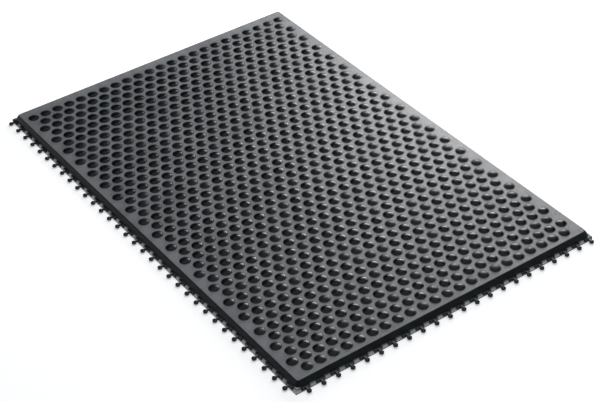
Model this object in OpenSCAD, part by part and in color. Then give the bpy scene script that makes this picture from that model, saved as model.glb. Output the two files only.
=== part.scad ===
// Interlocking anti-fatigue mat: a bevelled, bubble-topped rubber sheet over a foam core
// and a thin base sheet, with snap tabs on two sides and matching sockets on the other two.
// Lies on the floor at z = 0, origin under the middle of the whole outline, tabs included.
// X runs along the short side, Y along the long side; the tabs are on the -X and -Y sides.

/* [Body] */
// Number of tabs along the short side
short_tabs = 22; // [6:1:30]
// Number of tabs along the long side
long_tabs = 33; // [6:1:40]
// Distance between neighbouring tabs, which sets the size of the mat
tab_pitch = 27.27; // [24:0.01:32]
// Height of the flat top above the floor
top_z = 15.8; // [14:0.1:20]
// Height of the foot of the bevel, which is also the top of the tabs
foot_z = 6.4; // [5.5:0.1:7.5]
// Distance that the bevel runs outwards as it drops
bevel_run = 5.7; // [3:0.1:8]
// Thickness of the top sheet over the core
skin_t = 2.8; // [2:0.1:4]
// Thickness of the base sheet
base_t = 1.6; // [1.2:0.1:2]

/* [Bubbles] */
// Distance between bubbles in a row
bubble_pitch = 24.84; // [22:0.01:30]
// Diameter of one bubble
bubble_d = 19.6; // [12:0.1:21]
// Height of one bubble above the flat top
bubble_h = 3.2; // [1.5:0.1:4]
// Number of rows of bubbles
bubble_rows = 40; // [10:1:40]
// Bubbles in the longer rows, the rows between have one fewer
bubbles_in_row = 23; // [5:1:23]

/* [Tabs and sockets] */
// Width of a tab's block where it stands on the sill
block_w = 16; // [8:0.5:17]
// Depth of the sill, and of the blocks on it, outside the bevel
sill_d = 4; // [3:0.1:5]
// Width of a tab's neck
neck_w = 2.2; // [1.5:0.1:3.5]
// Diameter of a tab's head
head_d = 8; // [6:0.1:9]
// Distance from the blocks' outer face to the middle of the head
head_out = 6.9; // [6:0.1:9]
// Height of the underside of the neck and head above the floor
head_z = 2.4; // [2.1:0.1:3.5]
// Clearance round a head or neck in its socket, on each side
socket_gap = 0.3; // [0.2:0.05:0.5]
// Depth of the socket rail, in from the edge
rail_d = 14; // [14:0.5:18]

/* [Hidden] */

rubber = [0.10, 0.11, 0.12];
bubble_rubber = [0.05, 0.06, 0.07];
foam = [0.42, 0.44, 0.45];

// The body is a whole number of tab pitches each way, and the tabs reach past it
body_w = short_tabs * tab_pitch;
body_l = long_tabs * tab_pitch;
tab_reach = head_out + head_d / 2;
x_male = (tab_reach - body_w) / 2;
y_male = (tab_reach - body_l) / 2;
x_female = x_male + body_w;
y_female = y_male + body_l;

// First tab from the male corner; the last tab's block ends flush with the female side
first_tab = tab_pitch - block_w / 2;

// Foot of the bevel on the male sides, and the sides of the core inside the rim
x_foot = x_male + sill_d;
y_foot = y_male + sill_d;
rim_land = 3;
rim_w = bevel_run + rim_land;
core_top = top_z - skin_t;

// The corners are round in plan, and the bevel's top edge is softened in two steps: each is
// how far it lies inside the bevel's line, and how far below the flat top
corner_r = 7;
edge_start = [0, 0.9];
edge_middle = [0.2, 0.3];
edge_end = [1.2, 0];
bevel_slope = bevel_run / (top_z - foot_z);

// The bubbles lie a little nearer to the male sides
row_pitch = bubble_pitch * sin(60);
field_x = (x_foot + x_female) / 2 - 0.7;
field_y = (y_foot + y_female) / 2 - 5;
bubble_r = (bubble_d * bubble_d / 4 + bubble_h * bubble_h) / (2 * bubble_h);

// Domed top of a tab's head, and how far the neck's top lies below the block's
cap_h = 1.5;
cap_r = (head_d * head_d / 4 + cap_h * cap_h) / (2 * cap_h);
neck_drop = 0.2;

// At the corner between the two socket sides, one open pocket takes both last tabs
pocket_w = block_w / 2 + head_d / 2 + socket_gap;

// Shallow cells under the base sheet, between ribs that grip the floor
cell_count = [11, 17];
cell_depth = 0.7;
rib_w = 7;
cell_margin = 24;

// A sliver that joins shapes, and how far a cut runs past the face that it opens
hair = 0.01;
over = 1;

// Sides of a round shape, of one inside a hull, and of the whole sphere that a bubble caps
$fn = 48;
hull_fn = 32;
bubble_fn = 120;

// A thin plate with round corners at height z, inset from the foot of the bevel
module bevel_layer(inset, z) {
    for (x = [x_foot + inset + corner_r, x_female - inset - corner_r])
        for (y = [y_foot + inset + corner_r, y_female - inset - corner_r])
            translate([x, y, z]) cylinder(r = corner_r, h = hair, $fn = hull_fn);
}

// The bevelled block that the top sheet is cut from, with its softened top edge
module bevelled_block() {
    hull() {
        bevel_layer(0, foot_z);
        bevel_layer(bevel_run - edge_start[1] * bevel_slope, top_z - edge_start[1]);
        bevel_layer(bevel_run + edge_middle[0], top_z - edge_middle[1]);
        bevel_layer(bevel_run + edge_end[0], top_z - hair);
    }
}

// Box between two corners
module box(low, high) {
    translate(low) cube(high - low);
}

module top_sheet() {
    color(rubber) difference() {
        bevelled_block();
        box([x_foot + rim_w, y_foot + rim_w, foot_z - over],
            [x_female - rim_w, y_female - rim_w, core_top]);
    }
}

// One bubble: the cap of a sphere that stands on the flat top
module bubble() {
    intersection() {
        translate([0, 0, bubble_h - bubble_r]) sphere(r = bubble_r, $fn = bubble_fn);
        box([-bubble_d, -bubble_d, 0], [bubble_d, bubble_d, bubble_h + over]);
    }
}

module bubbles() {
    color(bubble_rubber)
        for (row = [0 : bubble_rows - 1]) {
            count = bubbles_in_row - row % 2;
            y = field_y + ((bubble_rows - 1) / 2 - row) * row_pitch;
            for (i = [0 : count - 1])
                translate([field_x + (i - (count - 1) / 2) * bubble_pitch, y, top_z]) bubble();
        }
}

module cushion_core() {
    color(foam) union() {
        box([x_foot, y_foot, base_t], [x_female - rail_d, y_female - rail_d, foot_z]);
        box([x_foot + rim_w, y_foot + rim_w, foot_z], [x_female - rim_w, y_female - rim_w, core_top]);
    }
}

// Keyhole for one tab, open at the edge, drawn along +Y with the edge at y = 0
module keyhole(low, high) {
    slot_w = neck_w + 2 * socket_gap;
    translate([0, -head_out, low]) cylinder(d = head_d + 2 * socket_gap, h = high - low);
    box([-slot_w / 2, -head_out, low], [slot_w / 2, over, high]);
}

// The keyholes of both socket sides, and the open pocket at the corner between them
module sockets(low, high) {
    for (i = [0 : short_tabs - 2])
        translate([x_male + first_tab + i * tab_pitch, y_female, 0]) keyhole(low, high);
    for (i = [0 : long_tabs - 2])
        translate([x_female, y_male + first_tab + i * tab_pitch, 0])
            rotate([0, 0, -90]) keyhole(low, high);
    box([x_female - pocket_w, y_female - pocket_w, low], [x_female + over, y_female + over, high]);
}

module base_sheet() {
    color(rubber) difference() {
        box([x_male, y_male, 0], [x_female, y_female, base_t]);
        sockets(-over, base_t + over);
        base_cells();
    }
}

// The grid of shallow cells under the base sheet
module base_cells() {
    pitch_x = (body_w - 2 * cell_margin + rib_w) / cell_count[0];
    pitch_y = (body_l - 2 * cell_margin + rib_w) / cell_count[1];
    for (i = [0 : cell_count[0] - 1])
        for (j = [0 : cell_count[1] - 1])
            translate([x_male + cell_margin + i * pitch_x, y_male + cell_margin + j * pitch_y, 0])
                box([0, 0, -over], [pitch_x - rib_w, pitch_y - rib_w, cell_depth]);
}

// One tab, drawn with its block's outer face at y = 0 and its head towards -Y
module tab() {
    box([-block_w / 2, 0, base_t], [block_w / 2, sill_d, foot_z]);
    box([-neck_w / 2, -head_out, head_z], [neck_w / 2, hair, foot_z - neck_drop]);
    translate([0, -head_out, 0]) intersection() {
        translate([0, 0, head_z]) cylinder(d = head_d, h = foot_z - head_z);
        translate([0, 0, foot_z - cap_r]) sphere(r = cap_r);
    }
}

module short_side_tabs() {
    color(rubber)
        for (i = [0 : short_tabs - 1])
            translate([x_male + first_tab + i * tab_pitch, y_male, 0]) tab();
}

module long_side_tabs() {
    color(rubber)
        for (i = [0 : long_tabs - 1])
            translate([x_male, y_male + first_tab + i * tab_pitch, 0]) rotate([0, 0, -90]) tab();
}

module short_side_socket_rail() {
    color(rubber) difference() {
        box([x_foot, y_female - rail_d, base_t], [x_female, y_female, foot_z]);
        sockets(base_t - over, foot_z + over);
    }
}

module long_side_socket_rail() {
    color(rubber) difference() {
        box([x_female - rail_d, y_foot, base_t], [x_female, y_female - rail_d, foot_z]);
        sockets(base_t - over, foot_z + over);
    }
}

top_sheet();
bubbles();
cushion_core();
base_sheet();
short_side_tabs();
long_side_tabs();
short_side_socket_rail();
long_side_socket_rail();
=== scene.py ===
import math
import random

import bmesh
import bpy
from mathutils import Matrix, Vector


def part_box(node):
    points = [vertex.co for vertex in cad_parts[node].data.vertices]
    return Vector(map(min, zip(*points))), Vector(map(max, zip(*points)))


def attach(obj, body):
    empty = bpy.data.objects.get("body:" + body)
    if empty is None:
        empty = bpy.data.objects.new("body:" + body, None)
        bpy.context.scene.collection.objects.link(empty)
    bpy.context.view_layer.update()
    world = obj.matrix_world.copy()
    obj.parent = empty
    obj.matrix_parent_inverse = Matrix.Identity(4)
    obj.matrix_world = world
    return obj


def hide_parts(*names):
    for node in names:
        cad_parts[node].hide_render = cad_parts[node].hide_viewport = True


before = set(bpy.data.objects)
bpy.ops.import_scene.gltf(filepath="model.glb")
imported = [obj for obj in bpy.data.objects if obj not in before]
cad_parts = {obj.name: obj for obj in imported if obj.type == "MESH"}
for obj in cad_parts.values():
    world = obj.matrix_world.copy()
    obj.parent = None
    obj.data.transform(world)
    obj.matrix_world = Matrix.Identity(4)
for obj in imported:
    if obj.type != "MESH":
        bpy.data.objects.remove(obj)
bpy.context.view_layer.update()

MM = 0.001

# ---- Floor, lights and camera ------------------------------------------------------------
# The mat lies on a plain white floor. A soft panel and a small bright one stand behind its
# right side and rake across the bubbles, and a large dim one hangs overhead.

floor_size = 14
floor_glow = 0.42
bpy.ops.mesh.primitive_plane_add(size=floor_size)
floor = bpy.context.object
floor.name = "floor"
floor_paint = bpy.data.materials.new("white_floor")
floor_paint.use_nodes = True
floor_shader = floor_paint.node_tree.nodes["Principled BSDF"]
floor_shader.inputs["Base Color"].default_value = (0.9, 0.9, 0.9, 1)
floor_shader.inputs["Roughness"].default_value = 0.9
floor_shader.inputs["Specular IOR Level"].default_value = 0.0
floor_shader.inputs["Emission Color"].default_value = (1, 1, 1, 1)
floor_shader.inputs["Emission Strength"].default_value = floor_glow
floor.data.materials.append(floor_paint)


def panel_light(name, place, aim, width, height, watts, colour):
    """A flat soft light at place, turned to face aim."""
    light = bpy.data.lights.new(name, "AREA")
    light.shape = "RECTANGLE"
    light.size = width
    light.size_y = height
    light.energy = watts
    light.color = colour
    lamp = bpy.data.objects.new(name, light)
    lamp.location = place
    lamp.rotation_euler = (Vector(aim) - Vector(place)).to_track_quat("-Z", "Y").to_euler()
    bpy.context.collection.objects.link(lamp)


panel_light("side_panel", (1.00, 0.60, 0.50), (0.1, -0.2, 0), 0.8, 0.65, 13, (1.0, 0.99, 0.98))
panel_light("small_key", (1.25, 0.85, 0.36), (0, -0.1, 0), 0.50, 0.28, 8, (1.0, 0.98, 0.96))
panel_light("overhead_panel", (0.2, 0.0, 2.0), (0.1, 0, 0), 2.6, 2.6, 34, (0.95, 0.98, 1.0))

world = bpy.data.worlds.new("studio")
world.use_nodes = True
world.node_tree.nodes["Background"].inputs["Color"].default_value = (0.05, 0.055, 0.06, 1)
bpy.context.scene.world = world
bpy.context.scene.view_settings.view_transform = "Standard"

camera = bpy.data.objects.new("camera", bpy.data.cameras.new("camera"))
camera.data.sensor_width = 36
camera.data.lens = 100.7
camera_roll = math.radians(-2.31)
ahead = Vector((0.4443, 0.6545, -0.6117))
camera.matrix_world = (Matrix.Translation((-1.2927, -1.9459, 1.7596))
                       @ ahead.to_track_quat("-Z", "Y").to_matrix().to_4x4()
                       @ Matrix.Rotation(camera_roll, 4, "Z"))
bpy.context.collection.objects.link(camera)
bpy.context.scene.camera = camera


# ---- Base sheet --------------------------------------------------------------------------
# A thin moulded rubber sheet, glued under the cushion, whose edge sticks out as a sill in
# front of the bevel. Its top face has the fine grain of a blasted mould.

class Shade:
    """A socket in a material. Sums on it add Math nodes, and node() adds any other node."""

    def __init__(self, socket):
        self.socket = socket

    def node(self, kind, inputs=None, output=0, **settings):
        tree = self.socket.id_data
        made = tree.nodes.new("ShaderNode" + kind)
        for key, value in settings.items():
            setattr(made, key, value)
        for key, value in (inputs or {}).items():
            if isinstance(value, Shade):
                tree.links.new(value.socket, made.inputs[key])
            else:
                made.inputs[key].default_value = value
        return Shade(made.outputs[output])

    def math(self, operation, *others):
        return self.node("Math", dict(enumerate((self, *others))), operation=operation)

    def __add__(self, other):
        return self.math("ADD", other)

    def __mul__(self, other):
        return self.math("MULTIPLY", other)

    def __sub__(self, other):
        return self.math("SUBTRACT", other)

    def __rsub__(self, other):
        return self.math("SUBTRACT", other).math("MULTIPLY", -1)

    __radd__ = __add__
    __rmul__ = __mul__

    def ramp(self, low, high):
        """0 below low, 1 above high, smooth between them."""
        return self.node("MapRange", {0: self, 1: low, 2: high}, interpolation_type="SMOOTHSTEP")

    def noise(self, scale, detail, roughness):
        return self.node("TexNoise", {"Vector": self, "Scale": scale, "Detail": detail,
                                      "Roughness": roughness})


def start_paint(name):
    """A new material, its main shader's node, and the Object coordinates as a Shade."""
    paint = bpy.data.materials.new(name)
    paint.use_nodes = True
    place = paint.node_tree.nodes.new("ShaderNodeTexCoord")
    return paint, paint.node_tree.nodes["Principled BSDF"], Shade(place.outputs["Object"])


def connect(shader, **sockets):
    """Feeds the shader's sockets, whose names are written with _ for a space."""
    for key, value in sockets.items():
        shader.id_data.links.new(value.socket, shader.inputs[key.replace("_", " ")])


def blend_colours(factor, first, second):
    return factor.node("Mix", {0: factor, 6: first, 7: second}, output=2, data_type="RGBA")


def repaint(node, paint):
    """A CAD node keeps its shape and gets this material."""
    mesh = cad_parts[node].data
    mesh.materials.clear()
    mesh.materials.append(paint)


grain_per_m = 900
cloud_per_m = 14
smear_per_m = 60
grain_depth = 0.2 * MM
# How much of the grain is left on the steep faces, and how deep the marks are against it
steep_grain = 0.25
mark_depth = 2
moulded_specular = 0.35
# Tones of level faces: the cloudy patches vary between them, and both are a painted sheen, far
# lighter than the near-black steep faces
cloudy_sheen_dark = (0.12, 0.125, 0.135, 1)
cloudy_sheen_light = (0.17, 0.175, 0.185, 1)
# Painted reflection: lighter tones for the base sheet's sill and turned-up edge, standing in for
# the floor's light reflected into the windows between the tabs
painted_reflection_dark = (0.30, 0.32, 0.34, 1)
painted_reflection_light = (0.42, 0.44, 0.46, 1)
side_dark = (0.003, 0.005, 0.006, 1)
side_light = (0.007, 0.011, 0.012, 1)


def moulded_rubber(name, steep=0.75, level=0.97, marks=None, tones=(cloudy_sheen_dark, cloudy_sheen_light)):
    """Level faces come from the blasted part of the mould, and have a fine grain and faint
    cloudy patches. Steep ones come from its smooth walls, and have less grain. Which way a face
    points also sets its colour: level faces are painted light grey, a painted sheen of the light
    from above, and steep ones near-black, painted shade. marks is a mask of fine sunk lines and
    dots, drawn in the steep faces' dark colour, and tones are the two colours of the level faces."""
    paint, shader, place = start_paint(name)
    grain = place.noise(grain_per_m, 3.0, 0.6)
    cloud = place.noise(cloud_per_m, 5.0, 0.65)
    smear = place.noise(smear_per_m, 4.0, 0.6)
    facing = place.node("NewGeometry", output="Normal")
    is_level = facing.node("SeparateXYZ", {0: facing}, output="Z").ramp(steep, level)
    sunk = marks(place) if marks else grain * 0.0
    # Painted light and shade: the colour follows which way the face points, light grey on level
    # faces and near-black on steep ones
    on_level = blend_colours(cloud.ramp(0.35, 0.65), *tones)
    on_side = blend_colours(smear.ramp(0.3, 0.7), side_dark, side_light)
    height = grain * (steep_grain + (1 - steep_grain) * is_level) - mark_depth * sunk
    connect(shader,
            Base_Color=blend_colours(is_level, on_side, blend_colours(sunk, on_level, side_light)),
            Roughness=0.36 + 0.08 * smear + 0.10 * is_level,
            Normal=height.node("Bump", {"Strength": 0.35, "Distance": grain_depth,
                                        "Height": height}))
    shader.inputs["Specular IOR Level"].default_value = moulded_specular
    return paint


# Its level faces take the lighter tones, a painted reflection of the floor's light
base_paint = moulded_rubber("base_rubber", tones=(painted_reflection_dark, painted_reflection_light))
repaint("base_sheet", base_paint)


# ---- Cushion core ------------------------------------------------------------------------
# A slab of closed cell sponge under the top sheet, which gives the mat its spring. Only the
# low edge of it shows, between the tabs, where the base sheet is turned up against it.

core_low, core_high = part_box("cushion_core")
sheet_low, sheet_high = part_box("top_sheet")
rim_w = 8.7 * MM

# How far out the turned-up edge reaches at each height, from the sill to the bevel's foot
fillet = [(3.4, 0.0), (1.9, 0.7), (0.9, 1.7), (0.3, 3.0), (0.0, 4.8)]


def finish_piece(name, shape, paints, node, smooth_angle):
    """The bmesh becomes a piece that rides on the mat and stands for the CAD node."""
    mesh = bpy.data.meshes.new(name)
    shape.to_mesh(mesh)
    shape.free()
    piece = bpy.data.objects.new(name, mesh)
    bpy.context.collection.objects.link(piece)
    for paint in paints:
        mesh.materials.append(paint)
    mesh.shade_smooth()
    mesh.set_sharp_from_angle(angle=math.radians(smooth_angle))
    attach(piece, "root")
    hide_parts(node)


def plate(shape, low, high, z):
    """One level face between two corners."""
    made = bmesh.ops.create_grid(shape, x_segments=1, y_segments=1, size=0.5)["verts"]
    bmesh.ops.scale(shape, vec=(high[0] - low[0], high[1] - low[1], 1), verts=made)
    bmesh.ops.translate(shape, vec=((high[0] + low[0]) / 2, (high[1] + low[1]) / 2, z), verts=made)


def raise_top(shape, faces, inset, rise):
    """Steps the faces in by inset and up by rise, with a new wall round them."""
    if inset:
        bmesh.ops.inset_region(shape, faces=faces, thickness=inset, use_even_offset=True)
    else:
        made = bmesh.ops.extrude_face_region(shape, geom=faces)["geom"]
        bmesh.ops.delete(shape, geom=faces, context="FACES_ONLY")
        faces = [part for part in made if isinstance(part, bmesh.types.BMFace)]
    moved = {vert for face in faces for vert in face.verts}
    bmesh.ops.translate(shape, vec=(0, 0, rise), verts=list(moved))
    return faces


core = bmesh.new()
reach = fillet[0][0] * MM
plate(core, (core_low.x - reach, core_low.y - reach), (core_high.x + reach, core_high.y + reach),
      core_low.z)
top = bmesh.ops.extrude_face_region(core, geom=core.faces[:])["geom"]
top = [part for part in top if isinstance(part, bmesh.types.BMFace)]
for (out, up), (next_out, next_up) in zip(fillet, fillet[1:]):
    top = raise_top(core, top, (out - next_out) * MM, (next_up - up) * MM)
top = raise_top(core, top, rim_w, 0)
top = raise_top(core, top, 0, core_high.z - core_low.z - fillet[-1][1] * MM)
bmesh.ops.recalc_face_normals(core, faces=core.faces[:])
# The turned-up edge takes the same lighter tones, a painted reflection of the floor's light
slab_paint = moulded_rubber("turned_up_rubber", 0.1, 0.6, tones=(painted_reflection_dark, painted_reflection_light))
finish_piece("cushion_slab", core, [slab_paint], "cushion_core", 50)


# ---- Socket rails ------------------------------------------------------------------------
# Two solid rubber strips under the back and right edges, glued to the base sheet, with a
# row of keyholes open from below for the tabs of the next mats.

rail_paint = moulded_rubber("rail_rubber")
repaint("short_side_socket_rail", rail_paint)
repaint("long_side_socket_rail", rail_paint)


# ---- Top sheet ---------------------------------------------------------------------------
# One moulded rubber sheet, turned down in a bevel all round. It sits over the core like a
# lid, and its corners and top edge are slightly round.

foot_corner_r = 9.5 * MM
skin_t = 2.8 * MM
sheet_height = sheet_high.z - sheet_low.z

# How far in each ring goes from the one before, and how far up. The rises are scaled so that
# they add up to the sheet's height.
edge_steps = [(4.3, 7.4), (0.9, 1.45), (0.42, 0.48), (0.38, 0.27), (0.42, 0.16), (0.48, 0.04)]

sheet = bmesh.new()
bmesh.ops.create_grid(sheet, x_segments=1, y_segments=1, size=0.5)
size = sheet_high - sheet_low
middle = (sheet_high + sheet_low) / 2
bmesh.ops.scale(sheet, vec=(size.x, size.y, 1), verts=sheet.verts)
bmesh.ops.translate(sheet, vec=(middle.x, middle.y, sheet_low.z), verts=sheet.verts)
bmesh.ops.bevel(sheet, geom=sheet.verts[:], affect="VERTICES", offset=foot_corner_r,
                offset_type="OFFSET", segments=8, profile=0.5, material=-1)
bottom = sheet.faces[:]
sides = bmesh.ops.extrude_face_region(sheet, geom=bottom)["geom"]
top = [part for part in sides if isinstance(part, bmesh.types.BMFace)]
bmesh.ops.reverse_faces(sheet, faces=bottom)
total_rise = sum(rise for _, rise in edge_steps)
for run, rise in edge_steps:
    bmesh.ops.inset_region(sheet, faces=top, thickness=run * MM, use_even_offset=True)
    bmesh.ops.translate(sheet, vec=(0, 0, rise / total_rise * sheet_height),
                        verts=top[0].verts[:])
bmesh.ops.inset_region(sheet, faces=bottom, thickness=rim_w, use_even_offset=True)
cavity = bmesh.ops.extrude_face_region(sheet, geom=bottom)["geom"]
bmesh.ops.delete(sheet, geom=bottom, context="FACES_ONLY")
bmesh.ops.translate(sheet, vec=(0, 0, sheet_height - skin_t),
                    verts=[part for part in cavity if isinstance(part, bmesh.types.BMVert)])
bmesh.ops.recalc_face_normals(sheet, faces=sheet.faces[:])

bubble_pitch = 24.84 * MM
row_pitch = bubble_pitch * math.sin(math.radians(60))
bubble_rows = 40
bubble_r = 9.8 * MM
bubble_low, bubble_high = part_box("bubbles")
bubble_middle = (bubble_low + bubble_high) / 2
line_r = 11.1 * MM
line_half_w = 0.18 * MM
line_strength = 0.55
dot_r = 0.9 * MM
patches_per_m = 70
pin_mark_r = 4.4 * MM
pin_mark_half_w = 0.25 * MM
pin_mark_strength = 0.8
pin_mark_x = bubble_high.x + 3.9 * MM
pin_marks = [-0.372, -0.429, -0.074]
stud_mark_x = bubble_high.x + 6.0 * MM
stud_mark_pitch = 13.66 * MM


def sheet_marks(place):
    """Where the face is sunk: a line round each bubble and each place past the last row,
    a dot between every three, and some marks of ejector pins down the right border."""
    x = place.node("SeparateXYZ", {0: place}, output="X")
    y = place.node("SeparateXYZ", {0: place}, output="Y")

    def away(across, along):
        return (across * across + along * along).math("SQRT")

    def line_at(distance, radius, half):
        return 1 - (distance - radius).math("ABSOLUTE").ramp(half, 2.5 * half)

    def spot(distance, radius):
        return 1 - distance.ramp(0.6 * radius, 1.2 * radius)

    # The pattern repeats by mirroring, so one quarter of a cell holds all of it
    folded_x = (x - bubble_middle.x).math("PINGPONG", bubble_pitch / 2)
    folded_y = (y - bubble_high.y + bubble_r).math("PINGPONG", row_pitch)
    half = bubble_pitch / 2
    to_bubble = away(folded_x, folded_y).math(
        "MINIMUM", away(folded_x - half, folded_y - row_pitch))
    to_gap = away(folded_x, folded_y - row_pitch * 2 / 3).math(
        "MINIMUM", away(folded_x - half, folded_y - row_pitch / 3))
    patchy = place.noise(patches_per_m, 3.0, 0.6).ramp(0.38, 0.62)
    sunk = (line_strength * line_at(to_bubble, line_r, line_half_w)).math(
        "MAXIMUM", patchy * spot(to_gap, dot_r))
    along_border = (y - bubble_middle.y).math("PINGPONG", stud_mark_pitch / 2)
    sunk = sunk.math("MAXIMUM", patchy * spot(away(x - stud_mark_x, along_border), dot_r))
    for mark_y in pin_marks:
        to_mark = away(x - pin_mark_x, y - mark_y)
        pin_line = line_at(to_mark, pin_mark_r, pin_mark_half_w)
        sunk = sunk.math("MAXIMUM", pin_mark_strength * pin_line)
    return sunk


sheet_paint = moulded_rubber("sheet_rubber", marks=sheet_marks)
finish_piece("top_sheet_moulding", sheet, [sheet_paint], "top_sheet", 35)


# ---- Bubbles -----------------------------------------------------------------------------
# Low round bubbles, moulded in one with the top sheet in staggered rows. Their part of the
# mould is polished, so they come out glossy, each with a thin raised ring round its foot.

ring_r = 10.6 * MM
ring_w = 0.15 * MM
ring_h = 0.15 * MM
# How far past the dome's own rim a point must lie to count as the ring
rim_slack = 0.05 * MM
bubbles_in_row = 23
bubble_sides = 16
bubble_h = bubble_high.z - bubble_low.z

# The dome's outline from the foot of its ring to just short of the middle
cap_r = (bubble_r ** 2 + bubble_h ** 2) / (2 * bubble_h)
outline = [(ring_r, 0.0), (bubble_r + ring_w, ring_h)]
for share in (1.0, 0.80, 0.45):
    across = bubble_r * share
    up = bubble_h - cap_r + math.sqrt(cap_r ** 2 - across ** 2)
    outline.append((across, max(up, ring_h / 2)))


def bubble_shape():
    """One bubble at the origin: its outline turned round the middle, closed by a fan."""
    shape = bmesh.new()
    points = [shape.verts.new((across, 0, up)) for across, up in outline]
    line = [shape.edges.new(pair) for pair in zip(points, points[1:])]
    bmesh.ops.spin(shape, geom=points + line, cent=(0, 0, 0), axis=(0, 0, 1), dvec=(0, 0, 0),
                   angle=2 * math.pi, steps=bubble_sides, use_merge=True)
    rim = [edge for edge in shape.edges if edge.is_boundary]
    top_rim = [edge for edge in rim if edge.verts[0].co.z > ring_h]
    fan = bmesh.ops.extrude_edge_only(shape, edges=top_rim)["geom"]
    crown = [part for part in fan if isinstance(part, bmesh.types.BMVert)]
    bmesh.ops.pointmerge(shape, verts=crown, merge_co=(0, 0, bubble_h))
    foot_rim = [edge for edge in shape.edges if edge.is_boundary]
    bmesh.ops.edgeloop_fill(shape, edges=foot_rim)
    bmesh.ops.recalc_face_normals(shape, faces=shape.faces[:])
    return shape


one_bubble = bubble_shape()
one_mesh = bpy.data.meshes.new("one_bubble")
one_bubble.to_mesh(one_mesh)
one_bubble.free()

random.seed(7)
bubbles = bmesh.new()
dullness = bubbles.verts.layers.float.new("dullness")
ring = bubbles.verts.layers.float.new("ring")
for row in range(bubble_rows):
    count = bubbles_in_row - row % 2
    y = bubble_middle.y + ((bubble_rows - 1) / 2 - row) * row_pitch
    for i in range(count):
        x = bubble_middle.x + (i - (count - 1) / 2) * bubble_pitch
        known = len(bubbles.verts)
        bubbles.from_mesh(one_mesh)
        bubbles.verts.ensure_lookup_table()
        new = bubbles.verts[known:]
        bmesh.ops.translate(bubbles, vec=(x, y, bubble_low.z), verts=new)
        at_border = row in (0, bubble_rows - 1) or i in (0, count - 1)
        dull = random.random() ** 3 + (0.5 * random.random() if at_border else 0)
        for vert in new:
            away = math.hypot(vert.co.x - x, vert.co.y - y)
            vert[dullness] = min(dull, 1)
            vert[ring] = 1 if away > bubble_r + rim_slack else 0


bloom_per_m = 160
bloom_depth = 0.1 * MM
polished_specular = 0.11
gloss_dark = (0.003, 0.004, 0.005, 1)
gloss_dull = (0.014, 0.016, 0.019, 1)


def polished_rubber():
    """Rubber from a polished mould, with a faint bloom that differs from bubble to bubble."""
    paint, shader, place = start_paint("polished_rubber")
    dull = place.node("Attribute", output=2, attribute_name="dullness")
    at_ring = place.node("Attribute", output=2, attribute_name="ring").ramp(0.3, 0.9)
    bloom = place.noise(bloom_per_m, 3.0, 0.6)
    on_dome = blend_colours(dull * 0.5, gloss_dark, gloss_dull)
    connect(shader,
            # Painted highlight: the ring round each bubble's foot is coloured with the level
            # faces' light tone, for the light its raised edge catches
            Base_Color=blend_colours(at_ring, on_dome, cloudy_sheen_light),
            Roughness=0.22 + 0.16 * dull + 0.06 * bloom + 0.25 * at_ring,
            Normal=bloom.node("Bump", {"Strength": 0.15, "Distance": bloom_depth,
                                       "Height": bloom}))
    shader.inputs["Specular IOR Level"].default_value = polished_specular
    return paint


bubble_paint = polished_rubber()
finish_piece("bubble_mouldings", bubbles, [bubble_paint], "bubbles", 60)


# ---- Snap tabs ---------------------------------------------------------------------------
# Solid rubber tabs that stand on the sill along two sides: a block, a narrow neck and a
# round head. The next mat's socket is pressed down over the head.

tab_pitch = 27.27 * MM
block_w = 16 * MM
block_d = 4 * MM
neck_w = 2.2 * MM
neck_drop = 0.2 * MM
head_out = 6.9 * MM
head_r = 4 * MM
head_z = 2.4 * MM
head_sides = 20
# The head's domed top, in steps: how far in, and how far up
head_steps = [(0.5, 0.45), (0.9, 0.50), (1.2, 0.38), (0.9, 0.13)]
block_soft = 0.35 * MM
# A face of the neck counts as its top when its normal points up more than this
neck_level = 0.9
head_smear_per_m = 120
head_smear_depth = 0.3 * MM
head_specular = 0.25


def smooth_rubber(name):
    """The blocks and heads come from smooth pockets in the mould, with a faint smear."""
    paint, shader, place = start_paint(name)
    smear = place.noise(head_smear_per_m, 3.0, 0.6)
    connect(shader,
            Base_Color=blend_colours(smear.ramp(0.3, 0.7), side_dark, side_light),
            Roughness=0.30 + 0.12 * smear,
            Normal=smear.node("Bump", {"Strength": 0.1, "Distance": head_smear_depth,
                                       "Height": smear}))
    shader.inputs["Specular IOR Level"].default_value = head_specular
    return paint


def tab_block(shape, low, high, soft):
    """A box between two corners with softened edges."""
    made = bmesh.ops.create_cube(shape, size=1)["verts"]
    bmesh.ops.scale(shape, vec=[b - a for a, b in zip(low, high)], verts=made)
    bmesh.ops.translate(shape, vec=[(a + b) / 2 for a, b in zip(low, high)], verts=made)
    edges = {edge for vert in made for edge in vert.link_edges}
    bmesh.ops.bevel(shape, geom=list(edges), affect="EDGES", offset=soft, segments=2,
                    profile=0.5, material=-1)


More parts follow.
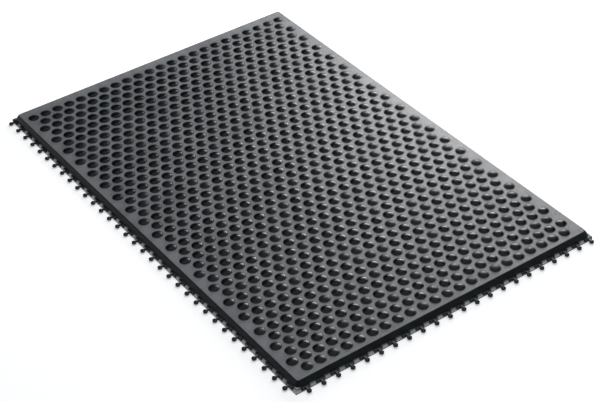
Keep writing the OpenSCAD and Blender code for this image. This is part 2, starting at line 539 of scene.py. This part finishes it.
def one_tab(base_z, top_z):
    """A tab with its block's outer face at y = 0 and its head towards -Y. The top of its neck
    takes the first material, and the rest the second."""
    shape = bmesh.new()
    tab_block(shape, (-block_w / 2, 0, base_z), (block_w / 2, block_d, top_z), block_soft)
    tab_block(shape, (-neck_w / 2, -head_out, head_z),
              (neck_w / 2, block_d / 2, top_z - neck_drop), block_soft / 2)
    domed = sum(rise for _, rise in head_steps) * MM
    ring = bmesh.ops.create_circle(shape, cap_ends=True, segments=head_sides,
                                   radius=head_r)["verts"]
    bmesh.ops.translate(shape, vec=(0, -head_out, head_z), verts=ring)
    disc = [face for face in ring[0].link_faces if len(face.verts) == head_sides]
    made = bmesh.ops.extrude_face_region(shape, geom=disc)["geom"]
    top = [part for part in made if isinstance(part, bmesh.types.BMFace)]
    bmesh.ops.translate(shape, vec=(0, 0, top_z - head_z - domed), verts=top[0].verts[:])
    for run, rise in head_steps:
        top = raise_top(shape, top, run * MM, rise * MM)
    bmesh.ops.recalc_face_normals(shape, faces=shape.faces[:])
    for face in shape.faces:
        middle = face.calc_center_median()
        on_neck = head_r - head_out < middle.y < 0 and face.normal.z > neck_level
        face.material_index = 0 if on_neck else 1
    return shape


def tab_row(node, name, along, turn):
    """The tabs of one side, copied from one tab along that side of the mat."""
    low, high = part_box(node)
    pattern = one_tab(low.z, high.z)
    mesh = bpy.data.meshes.new("one_tab")
    pattern.to_mesh(mesh)
    pattern.free()
    row = bmesh.new()
    first = Vector((low.x, low.y, 0)) + (head_out + head_r) * Vector((along.y, along.x, 0))
    first += block_w / 2 * along
    for i in range(round(((high - low).dot(along) - block_w) / tab_pitch) + 1):
        known = len(row.verts)
        row.from_mesh(mesh)
        row.verts.ensure_lookup_table()
        new = row.verts[known:]
        bmesh.ops.rotate(row, cent=(0, 0, 0), matrix=Matrix.Rotation(turn, 3, "Z"), verts=new)
        bmesh.ops.translate(row, vec=first + i * tab_pitch * along, verts=new)
    finish_piece(name, row, [tab_paint, head_paint], node, 40)


# The neck tops are level, so they are painted light grey as painted sheen
tab_paint = moulded_rubber("tab_rubber")
head_paint = smooth_rubber("head_rubber")
tab_row("short_side_tabs", "front_snap_tabs", Vector((1, 0, 0)), 0)
tab_row("long_side_tabs", "left_snap_tabs", Vector((0, 1, 0)), -math.pi / 2)
